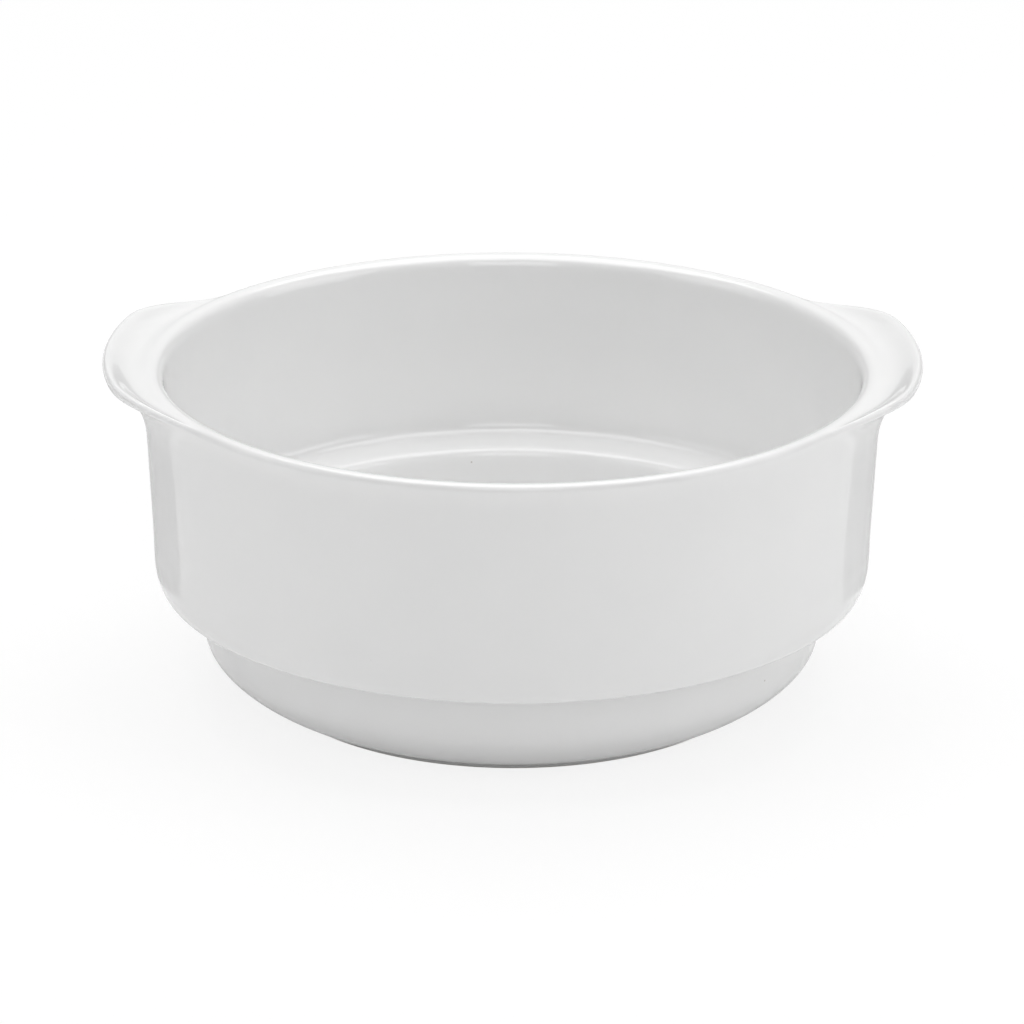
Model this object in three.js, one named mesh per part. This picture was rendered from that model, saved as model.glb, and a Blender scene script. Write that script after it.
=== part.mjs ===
// A stackable soup bowl with two lugs, in glazed porcelain. It is one fired piece: wall, rolled rim, step,
// stacking band, floor, foot ring and lugs leave the mould together, so the model is one closed body too.
// Lengths are in millimetres. The origin is the middle of the foot's underside, +Z is up, and the lugs lie
// along X.

import * as THREE from 'three';
import { mergeVertices } from 'three/addons/utils/BufferGeometryUtils.js';

// Whole bowl
const RIM_RADIUS = 63.25;
const RIM_HEIGHT = 57.45;
const LIP_THICKNESS = 3.7;

// Wall above the step, measured on the outside; the draft lets it leave the mould
const LIP_OVERHANG = 0.16;
const WALL_DRAFT = 1.34;
const WALL_THICKNESS = 3.25;

// Step: the wall turns in over a round edge, and a crisp arris ends it above the cove
const STEP_HEIGHT = 18.87;
const STEP_INSET = 2.36;
const STEP_ROUND_HEIGHT = 8.33;
const STEP_ROUND_TOP_HANDLE = 2.38;
const STEP_ROUND_DROP = 0.55;

// Stacking band below the step, which enters the mouth of the bowl underneath
const BAND_CLEARANCE = 5.71;
const BAND_DRAFT = 0.48;
const BAND_THICKNESS = 3.3;
const BAND_CURVE_HEIGHT = 10;
const BAND_CURVE_TOP_HANDLE = 3.9;
const BAND_CURVE_FOOT_HANDLE = 3.75;
const BAND_CURVE_FOOT_RISE = 1.1;
const COVE_RADIUS = 3.2;

// Foot ring, ground flat and left without glaze, round a recess
const FOOT_INSET = 11;
const FOOT_WIDTH = 2.8;
const FOOT_ROUND = 0.5;
const FOOT_SKIRT_HEIGHT = 0.89;
const RECESS_DEPTH = 2.4;
const RECESS_FILLET = 1.6;

// Inside
const FLOOR_THICKNESS = 4.2;
const FLOOR_CURVE_RADIUS = 10;
const SHELF_HEIGHT = 24.1;
const SHELF_FALL = 0.5;
const SHELF_FILLET = 3.2;
const SHELF_ROUND = 2.4;

// Rim: a soft roll inwards, a tight one outwards, and a slight neck under it
const LIP_INNER_ROUND_HEIGHT = 3;
const LIP_OUTER_ROUND = 1.15;
const NECK_DEPTH = 3.6;
const NECK_RELIEF = 0.35;

// Lugs: level ears that reach out of the rim, dished on top, thin at the edge
const LUG_REACH = 6.63;
const LUG_RISE = 2.05;
const LUG_EDGE_RADIUS = 1.04;
const LUG_DISH = 0.7;
const LUG_UNDERCUT_DEPTH = 11.9;
const LUG_UNDERCUT_HANDLE = 5.16;
const LUG_TIP_HANDLE = 3.12;
const LUG_FULL_ANGLE = THREE.MathUtils.degToRad(15.9);
const LUG_END_ANGLE = THREE.MathUtils.degToRad(36.2);

// Facets round the bowl, and how much closer together they stand at the lugs
const FACETS_ROUND = 80;
const LUG_FACET_SHARE = 0.4;

// Outside sizes that follow the rim
const crestRadius = RIM_RADIUS - LIP_OUTER_ROUND;
const wallTopRadius = RIM_RADIUS - LIP_OVERHANG;
const wallFootRadius = wallTopRadius - WALL_DRAFT;
const stepRadius = wallFootRadius - STEP_INSET;
const lugRadius = RIM_RADIUS + LUG_REACH;
const wallFootHeight = STEP_HEIGHT + STEP_ROUND_HEIGHT;
const wallTopHeight = RIM_HEIGHT - LUG_UNDERCUT_DEPTH;

// The band clears the mouth of a like bowl, and the foot lies inside the band
const mouthRadius = RIM_RADIUS - LIP_THICKNESS;
const bandRadius = mouthRadius - BAND_CLEARANCE;
const footOuter = bandRadius - FOOT_INSET;
const footInner = footOuter - FOOT_WIDTH;
const floorHeight = RECESS_DEPTH + FLOOR_THICKNESS;

const at = (radius, height) => new THREE.Vector2(radius, height);

// The outside of the wall leans out evenly from the step's round edge to the rim
function wallRadius(height) {
  const share = (height - wallFootHeight) / (RIM_HEIGHT - wallFootHeight);
  return THREE.MathUtils.lerp(wallFootRadius, wallTopRadius, share);
}

// A curve between two points that leaves towards one handle and arrives from another
function curve(start, leave, arrive, end, steps) {
  return new THREE.CubicBezierCurve(start, leave, arrive, end).getPoints(steps);
}

// A round corner, drawn as one curve whose handles both lie towards the corner
function corner(start, point, end, steps) {
  return new THREE.QuadraticBezierCurve(start, point, end).getPoints(steps);
}

// Foot ring and recess, from the axis outwards
function footOutline() {
  const ceiling = at(footInner - RECESS_FILLET, RECESS_DEPTH);
  return [
    at(0, RECESS_DEPTH),
    ...corner(ceiling, at(footInner, RECESS_DEPTH), at(footInner, FOOT_ROUND), 2),
    at(footInner + FOOT_ROUND, 0),
    at(footOuter - FOOT_ROUND, 0),
    at(footOuter, FOOT_ROUND),
  ];
}

// Stacking band, cove and step, from the foot ring up to the wall
function bandOutline() {
  const bandLow = bandRadius - BAND_DRAFT;
  const coveTop = STEP_HEIGHT - STEP_ROUND_DROP / 2;
  return [
    ...curve(
      at(footOuter, FOOT_SKIRT_HEIGHT),
      at(footOuter + BAND_CURVE_FOOT_HANDLE, FOOT_SKIRT_HEIGHT + BAND_CURVE_FOOT_RISE),
      at(bandLow, BAND_CURVE_HEIGHT - BAND_CURVE_TOP_HANDLE),
      at(bandLow, BAND_CURVE_HEIGHT),
      5,
    ),
    ...corner(
      at(bandRadius, coveTop - COVE_RADIUS),
      at(bandRadius, coveTop),
      at(bandRadius + COVE_RADIUS, coveTop),
      3,
    ),
    at(stepRadius, STEP_HEIGHT),
  ];
}

// The round bottom edge of the wall dips a little below the arris before it climbs to the wall
function stepOutline() {
  const arris = at(stepRadius, STEP_HEIGHT);
  const dip = at(wallFootRadius + STEP_ROUND_DROP / 2, STEP_HEIGHT - STEP_ROUND_DROP);
  const climb = at(wallFootRadius, wallFootHeight - STEP_ROUND_TOP_HANDLE);
  return curve(arris, dip, climb, at(wallFootRadius, wallFootHeight), 5).slice(1);
}

// Neck, edge and top of the rim where it has no lug
function plainLip() {
  const neckHeight = RIM_HEIGHT - NECK_DEPTH;
  const neck = at(wallRadius(neckHeight) - NECK_RELIEF, neckHeight);
  const underEdge = at(RIM_RADIUS, RIM_HEIGHT - LIP_OUTER_ROUND);
  const wallTop = at(wallRadius(wallTopHeight), wallTopHeight);
  const roundCorner = at(RIM_RADIUS, RIM_HEIGHT);
  const round = corner(underEdge, roundCorner, at(crestRadius, RIM_HEIGHT), 8);
  return [...curve(wallTop, at(wallTop.x, neckHeight), neck, underEdge, 5), ...round.slice(1)];
}

// Underside, edge and dished top of a lug along its middle, with as many points as the plain rim
function lugLip() {
  const edgeRadius = lugRadius - LUG_EDGE_RADIUS;
  const edgeHeight = RIM_HEIGHT + LUG_RISE - LUG_EDGE_RADIUS;
  const wallTop = at(wallRadius(wallTopHeight), wallTopHeight);
  const tip = at(edgeRadius, edgeHeight - LUG_EDGE_RADIUS);
  const undercut = curve(
    wallTop,
    at(wallTop.x, wallTop.y + LUG_UNDERCUT_HANDLE),
    at(tip.x - LUG_TIP_HANDLE, tip.y),
    tip,
    5,
  );
  const edge = new THREE.EllipseCurve(
    edgeRadius, edgeHeight, LUG_EDGE_RADIUS, LUG_EDGE_RADIUS, -Math.PI / 2, Math.PI / 2,
  ).getPoints(4);
  const dishHeight = RIM_HEIGHT - LUG_DISH;
  const dishRadius = (crestRadius + edgeRadius) / 2;
  const top = curve(
    edge.at(-1),
    at(dishRadius, dishHeight),
    at(dishRadius - LUG_EDGE_RADIUS, dishHeight),
    at(crestRadius, RIM_HEIGHT),
    4,
  );
  return [...undercut, ...edge.slice(1), ...top.slice(1)];
}

// Inside, from the crest of the rim down to the middle of the floor
function insideOutline() {
  const wallEnd = wallFootRadius - WALL_THICKNESS;
  const bandEnd = bandRadius - BAND_THICKNESS;
  const shelfInner = SHELF_HEIGHT - SHELF_FALL;
  const crest = at(crestRadius, RIM_HEIGHT);
  const mouth = at(mouthRadius, RIM_HEIGHT - LIP_INNER_ROUND_HEIGHT);
  return [
    ...corner(crest, at(mouthRadius, RIM_HEIGHT), mouth, 4).slice(1),
    ...corner(
      at(wallEnd, SHELF_HEIGHT + SHELF_FILLET),
      at(wallEnd, SHELF_HEIGHT),
      at(wallEnd - SHELF_FILLET, SHELF_HEIGHT),
      3,
    ),
    ...corner(
      at(bandEnd + SHELF_ROUND, shelfInner),
      at(bandEnd, shelfInner),
      at(bandEnd, shelfInner - SHELF_ROUND),
      3,
    ),
    ...corner(
      at(bandEnd, floorHeight + FLOOR_CURVE_RADIUS),
      at(bandEnd, floorHeight),
      at(bandEnd - FLOOR_CURVE_RADIUS, floorHeight),
      4,
    ),
    at(0, floorHeight),
  ];
}

// How far the lug has grown out of the rim at an angle round the bowl: 1 in its middle, 0 past its root
function lugShare(angle) {
  const fromLug = Math.abs(Math.asin(Math.sin(angle)));
  return 1 - THREE.MathUtils.smoothstep(fromLug, LUG_FULL_ANGLE, LUG_END_ANGLE);
}

// The whole outline at one angle: only the lip changes between the plain rim and the lug
function outline(share) {
  const lug = lugLip();
  const lip = plainLip().map((point, i) => point.lerp(lug[i], share));
  return [...footOutline(), ...bandOutline(), ...stepOutline(), ...lip, ...insideOutline()];
}

// The turned shape carries the faces; each of its outlines is then set to the one at its own angle
function bowlGeometry() {
  const profile = outline(0);
  const turned = new THREE.LatheGeometry(profile, FACETS_ROUND);
  const place = turned.getAttribute('position');
  for (let side = 0; side <= FACETS_ROUND; side += 1) {
    const even = (side / FACETS_ROUND) * Math.PI * 2;
    const angle = even - (LUG_FACET_SHARE * Math.sin(even * 2)) / 2;
    outline(lugShare(angle)).forEach((point, i) => {
      place.setXYZ(
        side * profile.length + i,
        point.x * Math.cos(angle),
        point.x * Math.sin(angle),
        point.y,
      );
    });
  }
  turned.deleteAttribute('normal');
  turned.deleteAttribute('uv');
  const geometry = mergeVertices(turned);
  geometry.computeVertexNormals();
  return geometry;
}

const porcelain = new THREE.MeshStandardMaterial({ color: 0xf2f2f0, roughness: 0.15, metalness: 0 });

const bowl = new THREE.Mesh(bowlGeometry(), porcelain);
bowl.name = 'bowl';

const soupBowl = new THREE.Group();
soupBowl.add(bowl);

export default soupBowl;
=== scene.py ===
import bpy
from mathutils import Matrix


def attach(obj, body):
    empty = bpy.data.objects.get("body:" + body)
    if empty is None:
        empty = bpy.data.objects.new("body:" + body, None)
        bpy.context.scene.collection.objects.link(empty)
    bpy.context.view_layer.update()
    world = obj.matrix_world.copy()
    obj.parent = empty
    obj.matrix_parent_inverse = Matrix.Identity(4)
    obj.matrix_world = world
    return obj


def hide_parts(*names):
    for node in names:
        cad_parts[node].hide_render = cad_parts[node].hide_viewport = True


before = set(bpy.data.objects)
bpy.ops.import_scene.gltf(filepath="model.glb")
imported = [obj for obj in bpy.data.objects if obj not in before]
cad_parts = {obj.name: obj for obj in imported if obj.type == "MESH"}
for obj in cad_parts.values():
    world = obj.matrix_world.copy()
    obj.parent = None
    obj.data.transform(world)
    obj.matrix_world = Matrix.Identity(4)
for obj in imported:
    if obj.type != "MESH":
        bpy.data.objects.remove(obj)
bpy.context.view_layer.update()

import math
import bmesh
import bpy
from mathutils import Matrix, Vector

scene = bpy.context.scene
scene.view_settings.view_transform = "Standard"

# Camera: a long lens, level with a seated person's eyes, looking down into the bowl at about 20 degrees.
# The front of the bowl faces it, with one lug to each side.
lens = bpy.data.cameras.new("camera")
lens.sensor_width = 36
lens.lens = 170.4
camera = bpy.data.objects.new("camera", lens)
pitch = math.radians(90 - 20.244)
roll = math.radians(0.27)
camera.matrix_world = (
    Matrix.Translation((0, -0.7853, 0.3195)) @ Matrix.Rotation(pitch, 4, "X") @ Matrix.Rotation(roll, 4, "Z")
)
scene.collection.objects.link(camera)
scene.camera = camera

# Glazed bowl: one piece of white porcelain, cast in a mould with its foot ring, stacking band, step and lugs,
# then dipped in clear glaze and fired. The glaze is glossy and lies slightly uneven, with a few fine pinholes,
# and the foot ring's flat is wiped and ground bare, so it is matt and a little warmer.
MM = 0.001
rim_radius, rim_height = 63.25, 57.45
wall_top, wall_foot, wall_foot_height = 63.09, 61.75, 27.2
step_radius, step_height, step_drop = 59.39, 18.87, 0.55
band_radius, band_low, band_curve_height = 53.84, 53.36, 10.0
foot_outer, foot_width, foot_skirt = 42.84, 2.8, 0.89
lug_radius, lug_rise, lug_edge = 69.88, 2.05, 1.04
lug_root, lug_full, lug_end = 45.55, 15.9, 36.2
ROUND = 192


def bend(start, leave, arrive, end, steps):
    """Points on a cubic curve, without its first."""
    out = []
    for i in range(1, steps + 1):
        t = i / steps
        u = 1 - t
        out.append(tuple(
            u**3 * a + 3 * u * u * t * b + 3 * u * t * t * c + t**3 * d
            for a, b, c, d in zip(start, leave, arrive, end)
        ))
    return out


def turn(start, corner, end, steps):
    """Points round a soft corner, without the first."""
    out = []
    for i in range(1, steps + 1):
        t = i / steps
        out.append(tuple(
            (1 - t) ** 2 * a + 2 * t * (1 - t) * b + t * t * c for a, b, c in zip(start, corner, end)
        ))
    return out


def wall_at(height):
    share = (height - wall_foot_height) / (rim_height - wall_foot_height)
    return wall_foot + (wall_top - wall_foot) * share


foot_inner = foot_outer - foot_width
cove_top = step_height - step_drop / 2
below = [(0, 2.4), (20, 2.4), (foot_inner - 1.6, 2.4)]
below += turn(below[-1], (foot_inner, 2.4), (foot_inner, 0.5), 4)
below += turn(below[-1], (foot_inner, 0), (foot_inner + 0.5, 0), 2)
below += [(foot_outer - 0.5, 0)]
below += turn(below[-1], (foot_outer, 0), (foot_outer, 0.5), 2)
below += [(foot_outer, foot_skirt)]
below += bend(
    below[-1], (foot_outer + 3.75, foot_skirt + 1.1), (band_low, band_curve_height - 3.9),
    (band_low, band_curve_height), 9,
)
below += [(band_radius, cove_top - 3.2)]
below += turn(below[-1], (band_radius, cove_top), (band_radius + 3.2, cove_top), 5)
below += [(step_radius - 0.25, step_height - 0.03), (step_radius, step_height)]
below += bend(
    below[-1], (wall_foot + step_drop / 2, step_height - step_drop), (wall_foot, wall_foot_height - 2.38),
    (wall_foot, wall_foot_height), 9,
)
below += [(wall_at(33), 33), (wall_at(39), 39), (wall_at(lug_root), lug_root)]

neck_height = rim_height - 3.6
crest = (rim_radius - 1.15, rim_height)
wall_head = below[-1]
plain = bend(
    wall_head, (wall_head[0], neck_height), (wall_at(neck_height) - 0.35, neck_height),
    (rim_radius, rim_height - 1.15), 8,
)
plain += turn(plain[-1], (rim_radius, rim_height), crest, 10)
edge_radius = lug_radius - lug_edge
edge_height = rim_height + lug_rise - lug_edge
tip = (edge_radius, edge_height - lug_edge)
lug = bend(wall_head, (wall_head[0], wall_head[1] + 5.16), (tip[0] - 3.12, tip[1]), tip, 8)
for i in range(1, 6):
    a = -math.pi / 2 + math.pi * i / 5
    lug.append((edge_radius + lug_edge * math.cos(a), edge_height + lug_edge * math.sin(a)))
dish = ((crest[0] + edge_radius) / 2, rim_height - 0.7)
lug += bend(lug[-1], dish, (dish[0] - lug_edge, dish[1]), crest, 5)

mouth, wall_end, band_end = rim_radius - 3.7, wall_foot - 3.25, band_radius - 3.3
inside = turn(crest, (mouth, rim_height), (mouth, rim_height - 3), 6)
inside += [(mouth + (wall_end - mouth) * t, (rim_height - 3) * (1 - t) + 27.3 * t) for t in (0.25, 0.5, 0.75)]
inside += [(wall_end, 27.3)]
inside += turn(inside[-1], (wall_end, 24.1), (wall_end - 3.2, 24.1), 6)
inside += [(band_end + 2.4, 23.6)]
inside += turn(inside[-1], (band_end, 23.6), (band_end, 21.2), 5)
inside += [(band_end, 16.6)]
inside += turn(inside[-1], (band_end, 6.6), (band_end - 10, 6.6), 7)
inside += [(20, 6.6), (0, 6.6)]

mesh = bpy.data.meshes.new("glazed_bowl")
made = bmesh.new()
outline = below + plain + inside
line = [made.verts.new((r * MM, 0, z * MM)) for r, z in outline]
for first, second in zip(line, line[1:]):
    made.edges.new((first, second))
bmesh.ops.spin(
    made, geom=made.verts[:] + made.edges[:], cent=(0, 0, 0), axis=(0, 0, 1), angle=2 * math.pi,
    steps=ROUND, use_merge=True,
)
bmesh.ops.remove_doubles(made, verts=made.verts[:], dist=1e-6)
for v in made.verts:
    r, z = math.hypot(v.co.x, v.co.y), v.co.z
    near = min(range(len(plain)), key=lambda i: math.dist(plain[i], (r / MM, z / MM)))
    if math.dist(plain[near], (r / MM, z / MM)) > 0.01:
        continue
    goal = lug[near]
    from_lug = math.degrees(abs(math.asin(max(-1, min(1, v.co.y / r)))))
    t = max(0, min(1, (from_lug - lug_full) / (lug_end - lug_full)))
    share = 1 - t * t * (3 - 2 * t)
    new_r = r + (goal[0] * MM - r) * share
    v.co.x *= new_r / r
    v.co.y *= new_r / r
    v.co.z = z + (goal[1] * MM - z) * share
bmesh.ops.recalc_face_normals(made, faces=made.faces[:])
for face in made.faces:
    face.smooth = True
made.to_mesh(mesh)
made.free()
bowl = bpy.data.objects.new("glazed_bowl", mesh)
scene.collection.objects.link(bowl)
smooth = bowl.modifiers.new("smooth", "SUBSURF")
smooth.levels = 1
smooth.render_levels = 1

glaze = bpy.data.materials.new("glazed_porcelain")
glaze.use_nodes = True
tree = glaze.node_tree
add, link = tree.nodes.new, tree.links.new
shader = tree.nodes["Principled BSDF"]
shader.inputs["IOR"].default_value = 1.5
where = add("ShaderNodeTexCoord")
parts = add("ShaderNodeSeparateXYZ")
link(where.outputs["Object"], parts.inputs[0])
bare = add("ShaderNodeMapRange")
bare.inputs["From Min"].default_value = 0.0004
bare.inputs["From Max"].default_value = 0.0002
link(parts.outputs["Z"], bare.inputs["Value"])
cloud = add("ShaderNodeTexNoise")
cloud.inputs["Scale"].default_value = 60
cloud.inputs["Detail"].default_value = 3
link(where.outputs["Object"], cloud.inputs["Vector"])
tint = add("ShaderNodeValToRGB")
tint.color_ramp.elements[0].position = 0.3
tint.color_ramp.elements[0].color = (0.858, 0.859, 0.858, 1)
tint.color_ramp.elements[1].position = 0.7
tint.color_ramp.elements[1].color = (0.872, 0.872, 0.87, 1)
link(cloud.outputs["Fac"], tint.inputs["Fac"])
cells = add("ShaderNodeTexVoronoi")
cells.inputs["Scale"].default_value = 160
link(where.outputs["Object"], cells.inputs["Vector"])
rare = add("ShaderNodeTexWhiteNoise")
link(cells.outputs["Position"], rare.inputs["Vector"])
chosen = add("ShaderNodeMath")
chosen.operation = "GREATER_THAN"
chosen.inputs[1].default_value = 0.93
link(rare.outputs["Value"], chosen.inputs[0])
dot = add("ShaderNodeMapRange")
dot.inputs["From Min"].default_value = 0.035
dot.inputs["From Max"].default_value = 0.02
link(cells.outputs["Distance"], dot.inputs["Value"])
speck = add("ShaderNodeMath")
speck.operation = "MULTIPLY"
link(chosen.outputs[0], speck.inputs[0])
link(dot.outputs["Result"], speck.inputs[1])
specked = add("ShaderNodeMix")
specked.data_type = "RGBA"
specked.inputs["B"].default_value = (0.6, 0.58, 0.55, 1)
link(speck.outputs[0], specked.inputs["Factor"])
link(tint.outputs["Color"], specked.inputs["A"])
# Painted highlight: a thin ring along the outer edge of the step, just below its top, has its base colour lifted
# to pure white to stand in for the bright line of light on the arris.
flat = add("ShaderNodeVectorMath")
flat.operation = "MULTIPLY"
flat.inputs[1].default_value = (1, 1, 0)
link(where.outputs["Object"], flat.inputs[0])
reach = add("ShaderNodeVectorMath")
reach.operation = "LENGTH"
link(flat.outputs["Vector"], reach.inputs[0])
beyond = add("ShaderNodeMapRange")
beyond.inputs["From Min"].default_value = (step_radius - 0.6) * MM
beyond.inputs["From Max"].default_value = (step_radius - 0.1) * MM
link(reach.outputs["Value"], beyond.inputs["Value"])
under = add("ShaderNodeMapRange")
under.inputs["From Min"].default_value = (step_height + 0.5) * MM
under.inputs["From Max"].default_value = (step_height + 0.1) * MM
link(parts.outputs["Z"], under.inputs["Value"])
arris_highlight_mask = add("ShaderNodeMath")
arris_highlight_mask.operation = "MULTIPLY"
link(beyond.outputs["Result"], arris_highlight_mask.inputs[0])
link(under.outputs["Result"], arris_highlight_mask.inputs[1])
painted_arris_highlight = add("ShaderNodeMix")
painted_arris_highlight.data_type = "RGBA"
painted_arris_highlight.inputs["B"].default_value = (1, 1, 1, 1)
link(arris_highlight_mask.outputs[0], painted_arris_highlight.inputs["Factor"])
link(specked.outputs["Result"], painted_arris_highlight.inputs["A"])
ground = add("ShaderNodeMix")
ground.data_type = "RGBA"
ground.inputs["B"].default_value = (0.74, 0.71, 0.66, 1)
link(bare.outputs["Result"], ground.inputs["Factor"])
link(painted_arris_highlight.outputs["Result"], ground.inputs["A"])
link(ground.outputs["Result"], shader.inputs["Base Color"])
gloss = add("ShaderNodeMapRange")
gloss.inputs["To Min"].default_value = 0.06
gloss.inputs["To Max"].default_value = 0.7
link(bare.outputs["Result"], gloss.inputs["Value"])
link(gloss.outputs["Result"], shader.inputs["Roughness"])
wave = add("ShaderNodeTexNoise")
wave.inputs["Scale"].default_value = 110
wave.inputs["Detail"].default_value = 1
link(where.outputs["Object"], wave.inputs["Vector"])
relief = add("ShaderNodeBump")
relief.inputs["Strength"].default_value = 0.25
relief.inputs["Distance"].default_value = 0.00004
link(wave.outputs["Fac"], relief.inputs["Height"])
link(relief.outputs["Normal"], shader.inputs["Normal"])
mesh.materials.append(glaze)
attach(bowl, "root")
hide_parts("bowl")

# Floor: a large sheet of plain white paper under the bowl. It is bright all over, and only the bowl's own soft
# shadow darkens it close to the foot ring.
floor_mesh = bpy.data.meshes.new("floor")
sheet = bmesh.new()
bmesh.ops.create_circle(sheet, cap_ends=True, segments=96, radius=6)
sheet.to_mesh(floor_mesh)
sheet.free()
floor = bpy.data.objects.new("floor", floor_mesh)
scene.collection.objects.link(floor)
paper = bpy.data.materials.new("white_paper")
paper.use_nodes = True
tree = paper.node_tree
add, link = tree.nodes.new, tree.links.new
diffuse = tree.nodes["Principled BSDF"]
diffuse.inputs["Base Color"].default_value = (0.95, 0.95, 0.95, 1)
diffuse.inputs["Roughness"].default_value = 0.9
diffuse.inputs["Specular IOR Level"].default_value = 0
path = add("ShaderNodeLightPath")
mirrored = add("ShaderNodeMath")
mirrored.operation = "MAXIMUM"
link(path.outputs["Is Glossy Ray"], mirrored.inputs[0])
link(path.outputs["Is Transmission Ray"], mirrored.inputs[1])
dimmed = add("ShaderNodeMath")
dimmed.operation = "MULTIPLY"
dimmed.inputs[1].default_value = 0.25
link(mirrored.outputs[0], dimmed.inputs[0])
share = add("ShaderNodeMath")
share.operation = "MULTIPLY_ADD"
share.inputs[1].default_value = 0.85
link(path.outputs["Is Camera Ray"], share.inputs[0])
link(dimmed.outputs[0], share.inputs[2])
glow = add("ShaderNodeEmission")
glow.inputs["Strength"].default_value = 1
blend = add("ShaderNodeMixShader")
link(share.outputs[0], blend.inputs["Fac"])
link(diffuse.outputs[0], blend.inputs[1])
link(glow.outputs[0], blend.inputs[2])
link(blend.outputs[0], tree.nodes["Material Output"].inputs["Surface"])
floor_mesh.materials.append(paper)

# Grey card: a photographer's card of plain matt board, laid flat on the floor behind the bowl. Only the glaze
# sees it, and mirrors it as the darker strips down both sides of the wall.
card_mesh = bpy.data.meshes.new("grey_card")
card = bmesh.new()
for side in (-1, 1):
    turned = Matrix.Translation((side * 0.084, 0.138, 0.001)) @ Matrix.Rotation(side * math.radians(44), 4, "Z")
    bmesh.ops.create_grid(card, x_segments=1, y_segments=1, size=0.5, matrix=turned @ Matrix.Diagonal((0.16, 0.2, 1, 1)))
card.to_mesh(card_mesh)
card.free()
grey_card = bpy.data.objects.new("grey_card", card_mesh)
scene.collection.objects.link(grey_card)
grey_card.visible_camera = False
grey_card.visible_diffuse = False
grey_card.visible_shadow = False
board = bpy.data.materials.new("grey_board")
board.use_nodes = True
board.node_tree.nodes["Principled BSDF"].inputs["Base Color"].default_value = (0.58, 0.58, 0.58, 1)
board.node_tree.nodes["Principled BSDF"].inputs["Roughness"].default_value = 0.9
board.node_tree.nodes["Principled BSDF"].inputs["Specular IOR Level"].default_value = 0
card_mesh.materials.append(board)

# Room: a pale studio, a little brighter towards the ceiling than at the horizon, and what shows behind
# the bowl is white.
room = bpy.data.worlds.new("studio")
room.use_nodes = True
scene.world = room
tree = room.node_tree
add, link = tree.nodes.new, tree.links.new
surround = tree.nodes["Background"]
way = add("ShaderNodeTexCoord")
axis = add("ShaderNodeSeparateXYZ")
link(way.outputs["Generated"], axis.inputs[0])
height = add("ShaderNodeMapRange")
height.inputs["From Min"].default_value = 0.0
height.inputs["From Max"].default_value = 0.9
height.inputs["To Min"].default_value = 0.06
height.inputs["To Max"].default_value = 0.1
link(axis.outputs["Z"], height.inputs["Value"])
link(height.outputs["Result"], surround.inputs["Strength"])
white = add("ShaderNodeBackground")
path = add("ShaderNodeLightPath")
mirrored = add("ShaderNodeMath")
mirrored.operation = "MAXIMUM"
link(path.outputs["Is Glossy Ray"], mirrored.inputs[0])
link(path.outputs["Is Transmission Ray"], mirrored.inputs[1])
dimmed = add("ShaderNodeMath")
dimmed.operation = "MULTIPLY"
dimmed.inputs[1].default_value = 0.15
link(mirrored.outputs[0], dimmed.inputs[0])
share = add("ShaderNodeMath")
share.operation = "ADD"
link(path.outputs["Is Camera Ray"], share.inputs[0])
link(dimmed.outputs[0], share.inputs[1])
pick = add("ShaderNodeMixShader")
link(share.outputs[0], pick.inputs["Fac"])
link(surround.outputs[0], pick.inputs[1])
link(white.outputs[0], pick.inputs[2])
link(pick.outputs[0], tree.nodes["World Output"].inputs["Surface"])
surround.inputs["Color"].default_value = (1, 1, 1, 1)
white.inputs["Color"].default_value = (1, 1, 1, 1)

# Lamps: one wide soft box over the bowl and one at each side, all plain white.
for name, place, size, power in (
    ("top_box", (0, 0.25, 1.3), 1.4, 18.2),
    ("left_box", (-1.2, -0.35, 0.55), 0.9, 3.0),
    ("right_box", (1.2, -0.35, 0.55), 0.9, 4.5),
    ("back_box", (0, 1.4, 0.8), 1.2, 1.6),
    ("front_box", (0, -1.4, 0.9), 0.8, 4.3),
):
    light = bpy.data.lights.new(name, "AREA")
    light.shape = "SQUARE"
    light.size = size
    light.energy = power
    lamp = bpy.data.objects.new(name, light)
    lamp.location = place
    lamp.rotation_mode = "QUATERNION"
    lamp.rotation_quaternion = (Vector((0, 0, 0.03)) - Vector(place)).to_track_quat("-Z", "Y")
    scene.collection.objects.link(lamp)
